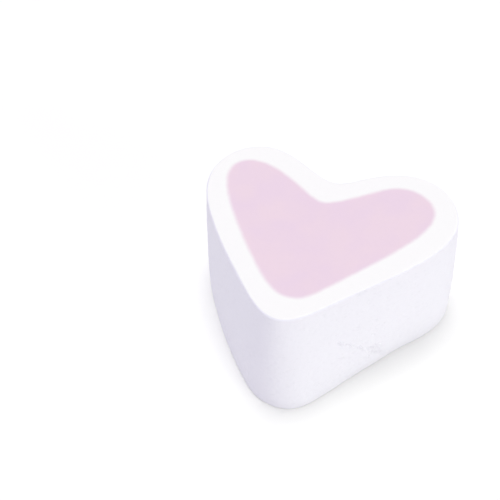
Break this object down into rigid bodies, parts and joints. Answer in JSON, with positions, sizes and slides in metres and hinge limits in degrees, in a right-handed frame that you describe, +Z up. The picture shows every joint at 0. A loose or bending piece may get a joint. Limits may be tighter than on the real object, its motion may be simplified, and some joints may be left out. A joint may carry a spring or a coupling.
{
  "type": "marshmallow",
  "caption": "Heart-shaped slice of soft foam sweet: a white shell round a pink heart-shaped core that runs right through between two flat cut faces.",
  "frame": {"origin": "on the floor under the middle of the outline's box, at the level of the lower cut face", "axes": "+Z up from one cut face to the other, +Y from the tip of the heart to its cleft, +X towards the right lobe"},
  "size_m": [0.0388, 0.0344, 0.0205],
  "materials": {
    "white_foam": "white marshmallow foam, soft and springy, dusted with starch: dead matt and powdery, with fine pores in the outer skin and smooth cut faces",
    "pink_foam": "pale pink marshmallow foam, soft and springy, matt and smooth where it is cut, its colour bleeding a little into the white round it"
  },
  "bodies": {
    "root": {"white_shell": "white_foam", "pink_core": "pink_foam"}
  },
  "joints": []
}
